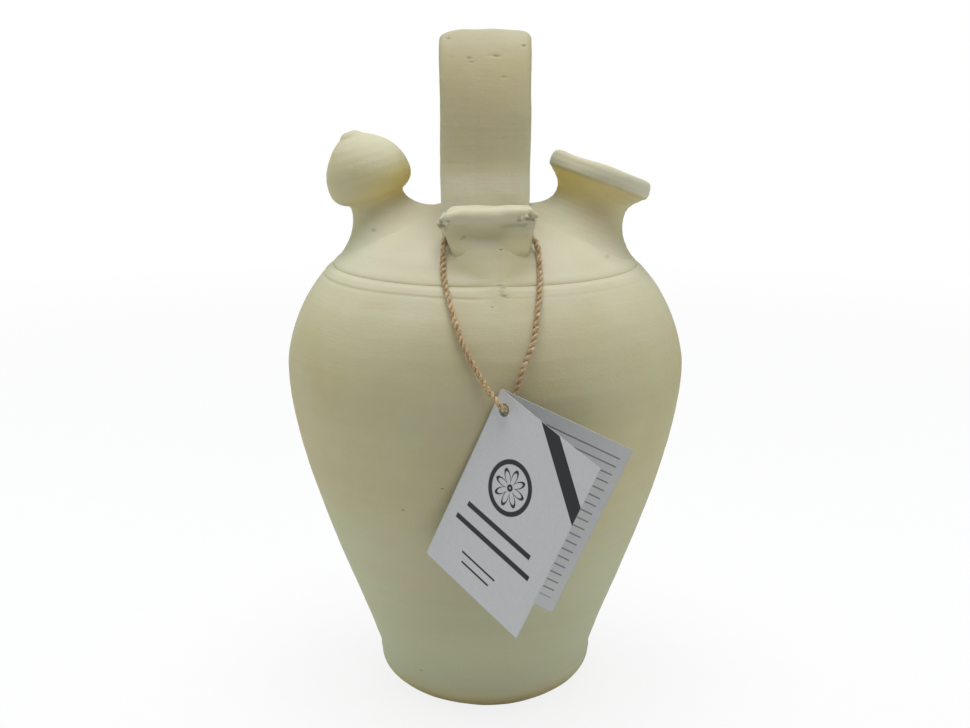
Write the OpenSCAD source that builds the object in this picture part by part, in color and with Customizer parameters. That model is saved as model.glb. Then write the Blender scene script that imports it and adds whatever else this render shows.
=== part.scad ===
// Spanish botijo: a two-spouted water jug of porous pale clay, with a strap
// handle over the top and a folded card tag hung from a twine loop.
// The origin is the middle of the flat base. +Z is up, +X points to the filling
// mouth, -X to the drinking spout, and -Y to the side where the tag hangs.

/* [Vessel] */
// Height from the table to the top of the handle
total_h = 330; // [315:1:350]
// Greatest radius of the belly
belly_r = 97.2; // [90:0.1:104]
// Height of the greatest radius
belly_z = 170; // [160:1:178]
// Radius of the upright band at the foot
foot_r = 53.4; // [48:0.1:58]
// Height of the top of the foot band
foot_h = 19; // [17:0.5:24]
// Radius of the flat base that stands on the table
base_r = 35; // [28:0.5:40]
// Height of the incised line where the dome sits on the body
seam_z = 219; // [214:0.5:224]
// Radius of the incised line
seam_r = 74.7; // [70:0.1:79]
// Height of the middle of the dome above the table
crown_z = 249; // [244:0.5:252]
// Thickness of the clay wall
wall = 6; // [4:0.5:7]
// Depth of the incised line
line_depth = 0.7; // [0.3:0.1:1.2]

/* [Filling mouth] */
// Distance of the middle of the rim from the vessel's axis
mouth_x = 56.4; // [52:0.2:60]
// Height of the middle of the rim
mouth_z = 262.5; // [258:0.5:270]
// Sideways lean of the mouth in degrees
mouth_lean = 20; // [14:0.5:25]
// Backward lean of the mouth in degrees
mouth_back = 5; // [0:0.5:8]
// Outer radius of the rim
rim_r = 24.4; // [22.5:0.1:26]
// Thickness of the rolled rim
rim_t = 6.4; // [5:0.2:7.4]
// Outer radius of the neck at its narrowest
mouth_neck_r = 17.6; // [16.4:0.1:19]
// Radius of the round throat that a stopper fits
throat_r = 12.5; // [10:0.1:13.5]

/* [Drinking spout] */
// Distance of the middle of the bulb from the vessel's axis
spout_x = 57.2; // [54:0.2:61]
// Height of the middle of the bulb
spout_z = 262.6; // [259:0.5:268]
// Sideways lean of the spout in degrees
spout_lean = 19.4; // [14:0.2:24]
// Greatest radius of the bulb
bulb_r = 20.7; // [18:0.1:22.5]
// Height of the nipple's tip above the middle of the bulb
tip_h = 21.5; // [20:0.5:24]
// Outer radius of the spout's neck
spout_neck_r = 13.3; // [12:0.1:14.5]
// Radius of the bore through the spout's neck
spout_bore_r = 7.5; // [5:0.1:8.5]
// Radius of the hole that the water pours from
drink_r = 1.5; // [1:0.1:2]

/* [Handle] */
// Width of the strap at its top
strap_w = 43.6; // [38:0.2:46]
// Width of the strap near its feet
strap_foot_w = 40; // [36:0.2:44]
// Thickness of the strap at its top
strap_t = 13; // [10:0.2:15]
// Distance of each foot's middle from the vessel's axis
strap_reach = 40; // [38:0.5:41]

/* [Front lug] */
// Radius of the hole that the twine runs through
tunnel_r = 3; // [2.4:0.1:3.4]
// Distance of that hole behind the incised line
tunnel_in = 20.7; // [20:0.1:21.5]
// Height of the hole's middle over the dome
tunnel_lift = 4.77; // [4.5:0.01:5.2]

/* [Tag and twine] */
// Diameter of the jute twine
twine_d = 2.8; // [2:0.1:3.2]
// Width of one leaf of the tag
leaf_w = 61.5; // [50:0.5:66]
// Length of one leaf of the tag
leaf_l = 86; // [70:1:92]
// Thickness of the card
leaf_t = 0.4; // [0.3:0.05:0.5]
// Radius of the punched hole
punch_r = 3; // [2.6:0.1:3.5]
// Distance of the punched hole from the fold
punch_u = 5.5; // [5:0.1:6.5]
// Distance of the punched hole from the top edge
punch_v = 7; // [6:0.1:8]
// Angle between the two leaves in degrees
leaf_open = 35; // [20:1:45]

/* [Hidden] */

clay = [0.86, 0.83, 0.70];
clay_dark = [0.80, 0.76, 0.60];
jute = [0.66, 0.52, 0.36];
card = [0.93, 0.93, 0.92];

round_fn = 96;
curve_n = 9;

// The dome is part of a ball that meets the body at the incised line
dome_r = (pow(seam_r, 2) + pow(crown_z - seam_z, 2)) / (2 * (crown_z - seam_z));
dome_centre = crown_z - dome_r;
dome_slope = asin(seam_r / dome_r);

// The lug's hole runs across the front, just over the dome
tunnel_y = seam_r - tunnel_in;
tunnel_z = dome_centre + sqrt(pow(dome_r, 2) - pow(tunnel_y, 2)) + tunnel_lift;

// Points and directions of cubic curves
function bezier(p, t) =
    pow(1 - t, 3) * p[0] + 3 * t * pow(1 - t, 2) * p[1]
    + 3 * t * t * (1 - t) * p[2] + pow(t, 3) * p[3];
function bezier_dir(p, t) =
    pow(1 - t, 2) * (p[1] - p[0]) + 2 * t * (1 - t) * (p[2] - p[1])
    + t * t * (p[3] - p[2]);
function left_of(d) = [-d[1], d[0]] / norm(d);
function bezier_row(p, n, side) =
    [for (i = [0:n]) bezier(p, i / n) + side * left_of(bezier_dir(p, i / n))];

// Where the foot's hollow turns into the sloping wall
wall_lean = 16.8;
wall_foot = [foot_r + 4.4, foot_h + 16];
wall_dir = [sin(wall_lean), cos(wall_lean)];

// The four stretches of the vessel's outer outline, from the base to the incised line
foot_curve = [[base_r, 0], [base_r + 1, 0], [foot_r, foot_h / 3], [foot_r, foot_h - 1]];
hollow_curve = [[foot_r, foot_h], [foot_r, foot_h + 6],
                wall_foot - 6.4 * wall_dir, wall_foot];
wall_curve = [wall_foot, wall_foot + 14.2 * wall_dir,
              [belly_r, belly_z - 43.7], [belly_r, belly_z]];
shoulder_curve = [[belly_r, belly_z], [belly_r, belly_z + 8],
                  [seam_r + 25 * cos(dome_slope), seam_z - 25 * sin(dome_slope)],
                  [seam_r, seam_z]];

// The inside of the foot, from the flat floor up into the wall
floor_curve = [[base_r - 4, wall], [base_r + 8, wall],
               [foot_r - wall, foot_h / 2], [foot_r - wall, foot_h - 1]];

// The outline over the foot, moved inwards by a distance
function wall_outline(inwards) = concat(
    bezier_row(hollow_curve, curve_n, inwards),
    bezier_row(wall_curve, 2 * curve_n, inwards),
    bezier_row(shoulder_curve, 2 * curve_n, inwards));

module vessel_solid() {
    rotate_extrude($fn = round_fn)
        polygon(concat([[0, 0]], bezier_row(foot_curve, curve_n, 0), wall_outline(0), [[0, seam_z]]));
}

module vessel_hollow() {
    inner_seam_r = sqrt(pow(dome_r - wall, 2) - pow(seam_z - dome_centre, 2));
    rotate_extrude($fn = round_fn)
        polygon(concat([[0, wall]], bezier_row(floor_curve, curve_n, 0), wall_outline(wall),
                       [[inner_seam_r, seam_z], [inner_seam_r, seam_z + 1], [0, seam_z + 1]]));
}

// The dome as a solid cap of a ball, cut off at the incised line
module dome_cap(r) {
    intersection() {
        translate([0, 0, dome_centre]) sphere(r = r, $fn = round_fn);
        translate([0, 0, seam_z]) cylinder(r = seam_r + 10, h = 60, $fn = round_fn);
    }
}

module incised_line() {
    rotate_extrude($fn = round_fn)
        polygon([[seam_r + 1, seam_z - 1.6], [seam_r - line_depth, seam_z],
                 [seam_r + 1, seam_z + 1.6]]);
}

// Places along the axes of the mouth and the spout, with the axis along Z
module at_mouth() {
    translate([mouth_x, 0, mouth_z]) rotate([-mouth_back, mouth_lean, 0]) children();
}

module at_spout() {
    translate([-spout_x, 0, spout_z]) rotate([0, -spout_lean, 0]) children();
}

// The middle of the dome's ball, seen from those axes
function turn_y(v, a) = [v[0] * cos(a) + v[2] * sin(a), v[1], v[2] * cos(a) - v[0] * sin(a)];
function turn_x(v, a) = [v[0], v[1] * cos(a) - v[2] * sin(a), v[1] * sin(a) + v[2] * cos(a)];
mouth_ball = turn_x(turn_y([-mouth_x, 0, dome_centre - mouth_z], -mouth_lean), mouth_back);
spout_ball = turn_y([spout_x, 0, dome_centre - spout_z], spout_lean);

// Height of the dome's surface along such an axis, over a point beside it
function ball_top(ball, x, y) =
    ball[2] + sqrt(pow(dome_r, 2) - pow(x - ball[0], 2) - pow(y - ball[1], 2));

// One point on the skirt of a neck that flares out onto the dome
function skirt_point(ball, neck_r, neck_z, foot, a, t) =
    let (
        near = foot - 9,
        end_z = ball_top(ball, foot * cos(a), foot * sin(a)) - 1.5,
        near_z = ball_top(ball, near * cos(a), near * sin(a)) + 0.8,
        p = bezier([[neck_r, neck_z], [neck_r, (neck_z + near_z) / 2],
                    [near, near_z], [foot, end_z]], t)
    ) [p[0] * cos(a), p[0] * sin(a), p[1]];

function middle(ring) = [for (p = ring) 1] * ring / len(ring);

// Closed solid through rings of points, all with as many points
module skinned(rings) {
    n = len(rings[0]);
    last = len(rings) - 1;
    sides = [for (i = [0:last - 1], k = [0:n - 1], half = [0, 1])
        let (a = i * n + k, b = i * n + (k + 1) % n)
        half == 0 ? [a, b, b + n] : [a, b + n, a + n]];
    low = (last + 1) * n;
    caps = [for (k = [0:n - 1], top = [0, 1])
        top == 0 ? [low, (k + 1) % n, k] : [low + 1, last * n + k, last * n + (k + 1) % n]];
    polyhedron(points = concat([for (r = rings) each r], [middle(rings[0]), middle(rings[last])]),
               faces = concat(sides, caps));
}

skirt_fn = 48;
skirt_steps = 7;

module neck_skirt(ball, neck_r, neck_z, foot) {
    buried = [for (k = [0:skirt_fn - 1]) let (a = -360 * k / skirt_fn)
        skirt_point(ball, neck_r, neck_z, foot, a, 1) - [0, 0, 2.5]];
    rings = [for (i = [skirt_steps:-1:0]) [for (k = [0:skirt_fn - 1])
        skirt_point(ball, neck_r, neck_z, foot, -360 * k / skirt_fn, i / skirt_steps)]];
    skinned(concat([buried], rings));
}

// Filling mouth: outline of the neck and the rolled rim, from the narrowest place up
mouth_neck_z = -15;
rim_round = rim_t / 2;
mouth_outline = concat(
    [[0, mouth_neck_z - 0.5], [mouth_neck_r, mouth_neck_z - 0.5]],
    bezier_row([[mouth_neck_r, mouth_neck_z], [mouth_neck_r, mouth_neck_z + 5],
                [rim_r - 5, -rim_t], [rim_r - rim_round * 0.45, -rim_round * 0.9]], curve_n, 0),
    [for (a = [-45:15:90]) [rim_r - rim_round + rim_round * cos(a), rim_round * sin(a)]],
    [[0, rim_round]]);
funnel_outline = concat(
    [[0, rim_round + 1], [rim_r - 5, rim_round + 1]],
    bezier_row([[rim_r - 5, rim_round], [throat_r + 4, rim_round - 1],
                [throat_r, -5], [throat_r, -11]], curve_n, 0),
    [[0, -11]]);

module throat_bore() {
    translate([0, 0, -50]) cylinder(r = throat_r, h = 50, $fn = round_fn);
}

// Drinking spout: a bulb that draws in below to the neck and above to a nipple
bulb_low = -3;
bulb_drop = 11.5;
bulb_power = 2.5;
function bulb_under(z) = bulb_r * pow(1 - pow((bulb_low - z) / bulb_drop, bulb_power), 1 / bulb_power);
nipple_r = 6;
nipple_h = tip_h - 3.2;
bulb_outline = concat(
    [[0, bulb_low - bulb_drop * cos(90 / 8)]],
    [for (i = [1:7]) let (z = bulb_low - bulb_drop * cos(i * 90 / 8)) [bulb_under(z), z]],
    [for (i = [0:curve_n]) bezier([[bulb_r, bulb_low], [bulb_r, bulb_low + 8.5],
        [nipple_r + 8.5, nipple_h - 4.3], [nipple_r, nipple_h]], i / curve_n)],
    [for (i = [1:4]) bezier([[nipple_r, nipple_h], [nipple_r - 1.5, nipple_h + 1],
        [drink_r + 2, tip_h], [drink_r + 0.4, tip_h]], i / 4)],
    [[0, tip_h]]);
bulb_wall = 5.5;
hollow_r = bulb_r - bulb_wall;

module bulb_hollow() {
    translate([0, 0, bulb_low]) sphere(r = hollow_r * 0.82, $fn = round_fn);
}

module spout_bore() {
    translate([0, 0, -50]) cylinder(r = spout_bore_r, h = 50 + bulb_low, $fn = round_fn);
}

module lower_body() {
    color(clay)
    difference() {
        vessel_solid();
        vessel_hollow();
        incised_line();
    }
}

module shoulder_dome() {
    color(clay)
    difference() {
        dome_cap(dome_r);
        translate([0, 0, dome_centre]) sphere(r = dome_r - wall, $fn = round_fn);
        incised_line();
        at_mouth() throat_bore();
        at_spout() spout_bore();
    }
}

mouth_foot = 30;
spout_foot = 27;
// The skirt stands a hair outside the round neck that it carries
neck_step = 0.12;

module filling_mouth() {
    color(clay)
    difference() {
        at_mouth() {
            rotate_extrude($fn = round_fn) polygon(mouth_outline);
            neck_skirt(mouth_ball, mouth_neck_r + neck_step, mouth_neck_z, mouth_foot);
        }
        dome_cap(dome_r);
        vessel_solid();
        at_mouth() {
            throat_bore();
            rotate_extrude($fn = round_fn) polygon(funnel_outline);
        }
    }
}

module drinking_spout() {
    color(clay)
    difference() {
        at_spout() {
            rotate_extrude($fn = round_fn) polygon(bulb_outline);
            neck_skirt(spout_ball, spout_neck_r, bulb_low - bulb_drop + 1.9, spout_foot);
        }
        dome_cap(dome_r);
        vessel_solid();
        at_spout() {
            spout_bore();
            bulb_hollow();
            cylinder(r = drink_r, h = tip_h + 1, $fn = 48);
        }
    }
}

// Strap handle: an arch from the front of the dome to its back
strap_fn = 24;
strap_steps = 15;
strap_power = 3.6;
strap_top = total_h - strap_t / 2;
strap_foot_z = 232;
strap_foot_t = strap_t + 2;
half_arch = [[-strap_reach, strap_foot_z], [-strap_reach - 8, strap_foot_z + 48],
             [-strap_reach + 10, strap_top], [0, strap_top]];
function rounded(c, n) = sign(c) * pow(abs(c), 2 / n);
function strap_ring(t) =
    let (
        at = bezier(half_arch, t),
        across = left_of(bezier_dir(half_arch, t)),
        half_w = (strap_foot_w + (strap_w - strap_foot_w) * t) / 2,
        half_t = (strap_foot_t + (strap_t - strap_foot_t) * t) / 2
    )
    [for (k = [0:strap_fn - 1]) let (a = 360 * k / strap_fn,
        side = half_w * rounded(cos(a), strap_power),
        out = half_t * rounded(sin(a), strap_power))
        [side, at[0] + across[0] * out, at[1] + across[1] * out]];

module strap_form() {
    front = [for (i = [0:strap_steps]) strap_ring(i / strap_steps)];
    back = [for (i = [strap_steps - 1:-1:0]) [for (p = strap_ring(i / strap_steps)) [p[0], -p[1], p[2]]]];
    skinned(concat(front, back));
}

module strap_handle() {
    color(clay)
    difference() {
        strap_form();
        dome_cap(dome_r);
    }
}

// Front lug: level slices through the thumbed clay, each with its height over the
// incised line, its left and right edges and how far its front is behind that line
lug_slices = [
    [-11, -7, 6, 2.7], [-4, -11, 10, -2.8], [1, -13, 14, -1.1], [7, -14.5, 17, 2.4],
    [13, -15.6, 20, 6.3], [19, -16.4, 21.2, 10.3], [23, -18.5, 21.4, 11.5],
    [25.5, -20.6, 22, 9.3], [28, -21.4, 22.8, 7.5], [31, -20.2, 22.8, 8.1],
    [33.3, -17, 21.4, 11.3], [34.4, -13, 18, 16.1]];
lug_back = 28.7;
lug_fn = 32;
lug_power = 4;

module lug_form() {
    skinned([for (s = lug_slices) [for (k = [0:lug_fn - 1])
        let (a = 360 * k / lug_fn)
        [(s[1] + s[2]) / 2 + (s[2] - s[1]) / 2 * rounded(cos(a), lug_power),
         (lug_back + s[3]) / 2 - seam_r + (lug_back - s[3]) / 2 * rounded(sin(a), lug_power),
         seam_z + s[0]]]]);
}

// The hole opens out at both ends, where the twine bends round the lug's sides
flare_l = 6;
flare_from = [-12, 17];

module tunnel() {
    translate([0, -tunnel_y, tunnel_z]) rotate([0, 90, 0]) {
        translate([0, 0, -40]) cylinder(r = tunnel_r, h = 80, $fn = 48);
        translate([0, 0, flare_from[0] - flare_l])
            cylinder(r1 = 2 * tunnel_r, r2 = tunnel_r, h = flare_l, $fn = 48);
        translate([0, 0, flare_from[1]])
            cylinder(r1 = tunnel_r, r2 = 2 * tunnel_r, h = flare_l, $fn = 48);
    }
}

module front_lug() {
    color(clay_dark)
    difference() {
        lug_form();
        strap_form();
        dome_cap(dome_r);
        vessel_solid();
        tunnel();
    }
}

// Twine: its middle line, from the middle of the lug's hole round by the tag,
// with the points told from that place
twine_route = [
    [-0.5, 0, 0], [-6, 0, 0], [-11.5, 0, 0], [-15, -0.4, -0.2], [-17.2, -1.8, -1.5],
    [-18.5, -4.8, -4.7], [-18.8, -8.8, -9.5], [-18.6, -15, -15.1], [-17.4, -20.3, -19.5],
    [-16.2, -25.2, -24.3], [-14.4, -30, -29.3], [-12.6, -34.4, -34.7], [-10, -38.8, -41.3],
    [-6.8, -42, -47.3], [-4, -44, -52], [-1.7, -46, -55.9], [0.6, -48.6, -59.1],
    [3, -51.4, -61.6], [5.2, -54, -63.7], [7, -54.4, -66], [8.4, -51.8, -67.3],
    [9.3, -49.9, -67.5], [10.2, -48, -67.6], [11.5, -45.8, -66.8], [12.8, -44.8, -64],
    [13.8, -44.6, -60.7], [14.8, -44.3, -56.9], [16, -43.6, -52.3], [18.6, -41.2, -46.9],
    [20.8, -37.9, -41.7], [22.2, -33.5, -35.2], [23, -28.8, -29.4], [23.7, -24, -24.5],
    [24.2, -19.1, -19.9], [24.4, -13.6, -15.1], [24.3, -8.4, -10.3], [23.8, -4.6, -5.7],
    [22.6, -2, -2.4], [20.4, -0.5, -0.5], [17, 0, 0], [11, 0, 0], [0.5, 0, 0]];
twine_fn = 8;
twine_last = len(twine_route) - 1;

function unit(v) = v / norm(v);
function twine_dir(i) =
    unit(twine_route[min(i + 1, twine_last)] - twine_route[max(i - 1, 0)]);
// Each ring keeps the direction of the ring before it, so that the tube doesn't twist
function carried(i, side) =
    let (d = twine_dir(i), s = unit(side - (side * d) * d))
    i == twine_last ? [s] : concat([s], carried(i + 1, s));
twine_sides = carried(0, [0, 0, 1]);

module twine_loop() {
    color(jute)
    skinned([for (i = [0:twine_last])
        let (s = twine_sides[i], c = cross(twine_dir(i), s))
        [for (k = [0:twine_fn - 1]) let (a = -360 * k / twine_fn)
            [0, -tunnel_y, tunnel_z] + twine_route[i] + twine_d / 2 * (cos(a) * s - sin(a) * c)]]);
}

// Tag: its fold runs down from the top corner, turned and leaned as it hangs
fold_top = [7.6, -tunnel_y - 48, tunnel_z - 59.7];
fold_turn = 23;
fold_lean = 7.4;
back_turn = 8;
crease_gap = 0.2;

module at_fold(turn) {
    translate(fold_top) rotate([fold_lean, fold_turn, 0]) rotate([0, 0, -turn]) children();
}

// One leaf, standing off the fold line by half the gap that a closed card has
module leaf(side) {
    difference() {
        translate([0, side < 0 ? -crease_gap - leaf_t : crease_gap, -leaf_l])
            cube([leaf_w, leaf_t, leaf_l]);
        translate([punch_u, -2, -punch_v]) rotate([-90, 0, 0])
            cylinder(r = punch_r, h = 4, $fn = 48);
    }
}

module tag_back_leaf() {
    color(card) at_fold(back_turn) leaf(1);
}

module tag_front_leaf() {
    color(card) at_fold(back_turn + leaf_open) leaf(-1);
}

lower_body();
shoulder_dome();
filling_mouth();
drinking_spout();
strap_handle();
front_lug();
twine_loop();
tag_back_leaf();
tag_front_leaf();
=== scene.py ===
"""Spanish botijo: a two-spouted water jug of porous pale clay with a card tag on a twine loop.

Lengths in this file are millimetres until mm() turns them into metres.
"""
import math
import random

import bmesh
import bpy
import numpy as np
from mathutils import Matrix, Vector


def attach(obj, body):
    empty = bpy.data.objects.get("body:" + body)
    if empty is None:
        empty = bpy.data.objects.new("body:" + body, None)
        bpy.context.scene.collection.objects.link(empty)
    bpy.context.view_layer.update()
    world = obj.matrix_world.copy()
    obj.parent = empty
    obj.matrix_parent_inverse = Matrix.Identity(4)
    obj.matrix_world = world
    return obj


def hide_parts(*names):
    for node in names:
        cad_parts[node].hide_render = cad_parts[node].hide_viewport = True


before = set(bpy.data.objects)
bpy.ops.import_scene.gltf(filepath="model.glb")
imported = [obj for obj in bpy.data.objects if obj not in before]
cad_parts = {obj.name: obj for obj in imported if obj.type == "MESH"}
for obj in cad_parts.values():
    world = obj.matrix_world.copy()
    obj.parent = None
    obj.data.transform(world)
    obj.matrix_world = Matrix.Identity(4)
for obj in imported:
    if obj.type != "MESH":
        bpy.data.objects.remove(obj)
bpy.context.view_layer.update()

MM = 0.001


def mm(points):
    return np.asarray(points, float) * MM


# Camera: place in metres, angle below level in degrees, lens in millimetres
EYE, EYE_DOWN, LENS = (0, -0.700, 0.3301), 13.11, 53.41


def make_camera():
    data = bpy.data.cameras.new("camera")
    data.sensor_fit = "HORIZONTAL"
    data.sensor_width = 36
    data.lens = LENS
    eye = bpy.data.objects.new("camera", data)
    bpy.context.scene.collection.objects.link(eye)
    eye.location = EYE
    eye.rotation_euler = (math.radians(90 - EYE_DOWN), 0, 0)
    bpy.context.scene.camera = eye


# Sizes of the real model
SEAM_R, SEAM_Z, CROWN_Z, WALL = 74.7, 219.0, 249.0, 6.0
DOME_R = (SEAM_R ** 2 + (CROWN_Z - SEAM_Z) ** 2) / (2 * (CROWN_Z - SEAM_Z))
DOME_Z = CROWN_Z - DOME_R
DOME_SLOPE = math.degrees(math.asin(SEAM_R / DOME_R))
BELLY_R, BELLY_Z, FOOT_R, FOOT_H, BASE_R = 97.2, 170.0, 53.4, 19.0, 35.0
# Middles of the mouth's rim and of the spout's bulb, how far each leans sideways and backwards in
# degrees, and the radii of their bores
MOUTH, MOUTH_LEAN, MOUTH_BACK, THROAT_R = np.array([56.4, 0, 262.5]), 20, 5, 12.5
SPOUT, SPOUT_LEAN, SPOUT_BORE_R = np.array([-57.2, 0, 262.6]), -19.4, 7.5


# Numbers and noise
def bezier(p, t):
    p = np.asarray(p, float)
    t = np.asarray(t, float)[..., None]
    return (1 - t) ** 3 * p[0] + 3 * t * (1 - t) ** 2 * p[1] + 3 * t * t * (1 - t) * p[2] + t ** 3 * p[3]


def rows(p, n):
    return bezier(p, np.linspace(0, 1, n + 1))


def spaced(line, step):
    """The line with points added so that they lie about a step apart."""
    line = np.asarray(line, float)
    run = np.concatenate([[0], np.cumsum(np.linalg.norm(np.diff(line, axis=0), axis=1))])
    n = max(2, int(round(run[-1] / step)) + 1)
    at = np.linspace(0, run[-1], n)
    return np.stack([np.interp(at, run, line[:, k]) for k in range(line.shape[1])], axis=1)


def smooth_line(points, step):
    """Catmull-Rom line through the points, with points about a step apart."""
    p = np.asarray(points, float)
    ends = np.vstack([2 * p[0] - p[1], p, 2 * p[-1] - p[-2]])
    out = []
    for i in range(1, len(ends) - 2):
        a, b, c, d = ends[i - 1:i + 3]
        t = np.linspace(0, 1, 24, endpoint=False)[:, None]
        out.append(0.5 * (2 * b + (c - a) * t + (2 * a - 5 * b + 4 * c - d) * t ** 2
                          + (3 * b - a - 3 * c + d) * t ** 3))
    return spaced(np.vstack(out + [p[-1:]]), step)


def smoothstep(low, high, x):
    t = np.clip((x - low) / (high - low), 0, 1)
    return t * t * (3 - 2 * t)


def bump(x, middle, width):
    return np.exp(-((x - middle) / width) ** 2)


def grain(p, size, seed=0):
    """Smooth noise from -1 to 1 at the points, with lumps of about the size."""
    q = np.asarray(p, float) / size
    cell = np.floor(q).astype(np.int64)
    f = q - cell
    f = f * f * (3 - 2 * f)
    total = np.zeros(len(q))
    for dx in (0, 1):
        for dy in (0, 1):
            for dz in (0, 1):
                c = cell + (dx, dy, dz)
                h = (c[:, 0] * 73856093) ^ (c[:, 1] * 19349663) ^ (c[:, 2] * 83492791)
                h = (h + seed * 374761393) & 0x7FFFFFFF
                h = ((h ^ (h >> 13)) * 1274126177) & 0x7FFFFFFF
                h = h ^ (h >> 16)
                weight = (np.where(dx, f[:, 0], 1 - f[:, 0]) * np.where(dy, f[:, 1], 1 - f[:, 1])
                          * np.where(dz, f[:, 2], 1 - f[:, 2]))
                total += weight * ((h & 0xFFFF) / 32767.5 - 1)
    return total


# Mesh helpers
def link(obj):
    bpy.context.scene.collection.objects.link(obj)
    return obj


def mesh_piece(name, points, faces, material, slot):
    data = bpy.data.meshes.new(name)
    data.from_pydata(mm(points).tolist(), [], faces)
    data.update()
    data.polygons.foreach_set("use_smooth", [True] * len(data.polygons))
    face_out(data)
    obj = link(bpy.data.objects.new(name, data))
    obj.data.materials.append(material)
    return obj


def face_out(data):
    """Turn a closed mesh's faces so that they look outwards."""
    work = bmesh.new()
    work.from_mesh(data)
    inside_out = work.calc_volume(signed=True) < 0
    work.free()
    if inside_out:
        data.flip_normals()


def skin_faces(count, n, wrap=False):
    """Quads over rings of n points, joined end to start if wrap, else closed by fans."""
    faces = []
    for i in range(count if wrap else count - 1):
        a, b = i * n, ((i + 1) % count) * n
        faces += [(a + k, a + (k + 1) % n, b + (k + 1) % n, b + k) for k in range(n)]
    if not wrap:
        low, high, last = count * n, count * n + 1, (count - 1) * n
        faces += [((k + 1) % n, k, low) for k in range(n)]
        faces += [(last + k, last + (k + 1) % n, high) for k in range(n)]
    return faces


def skinned(rings, wrap=False):
    rings = np.asarray(rings, float)
    count, n = rings.shape[:2]
    points = rings.reshape(-1, 3)
    if not wrap:
        points = np.vstack([points, rings[0].mean(0), rings[-1].mean(0)])
    return points, skin_faces(count, n, wrap)


def revolved(line, n):
    """Rings about Z of a line of (radius, height)."""
    a = np.linspace(0, 2 * np.pi, n, endpoint=False)
    line = np.asarray(line, float)
    return np.stack([line[:, :1] * np.cos(a), line[:, :1] * np.sin(a),
                     np.repeat(line[:, 1:2], n, axis=1)], axis=2)


def normals_of(obj):
    n = np.empty(len(obj.data.vertices) * 3, np.float32)
    obj.data.vertices.foreach_get("normal", n)
    return n.reshape(-1, 3).astype(float)


def points_of(obj):
    co = np.empty(len(obj.data.vertices) * 3, np.float32)
    obj.data.vertices.foreach_get("co", co)
    return co.reshape(-1, 3).astype(float) / MM


def move_points(obj, points):
    obj.data.vertices.foreach_set("co", mm(points).astype(np.float32).ravel())
    obj.data.update()


def push(obj, amount):
    """Every point moves along its normal by amount(points), in millimetres."""
    p = points_of(obj)
    move_points(obj, p + normals_of(obj) * amount(p)[:, None])


def paint(obj, name, values):
    layer = obj.data.attributes.new(name, "FLOAT", "POINT")
    layer.data.foreach_set("value", np.clip(values, 0, 1).astype(np.float32))


def turned(points, lean, back=0.0):
    """Points about Z, leaned sideways about Y and backwards about X."""
    p = np.asarray(points, float)
    a, b = math.radians(lean), math.radians(-back)
    y = p[..., 1] * math.cos(b) - p[..., 2] * math.sin(b)
    z = p[..., 1] * math.sin(b) + p[..., 2] * math.cos(b)
    x = p[..., 0]
    return np.stack([x * math.cos(a) + z * math.sin(a), y, z * math.cos(a) - x * math.sin(a)], axis=-1)


def unturned(points, lean, back=0.0):
    p = np.asarray(points, float)
    a, b = math.radians(lean), math.radians(-back)
    x = p[..., 0] * math.cos(a) - p[..., 2] * math.sin(a)
    z = p[..., 2] * math.cos(a) + p[..., 0] * math.sin(a)
    y = p[..., 1]
    return np.stack([x, y * math.cos(b) + z * math.sin(b), z * math.cos(b) - y * math.sin(b)], axis=-1)


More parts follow.
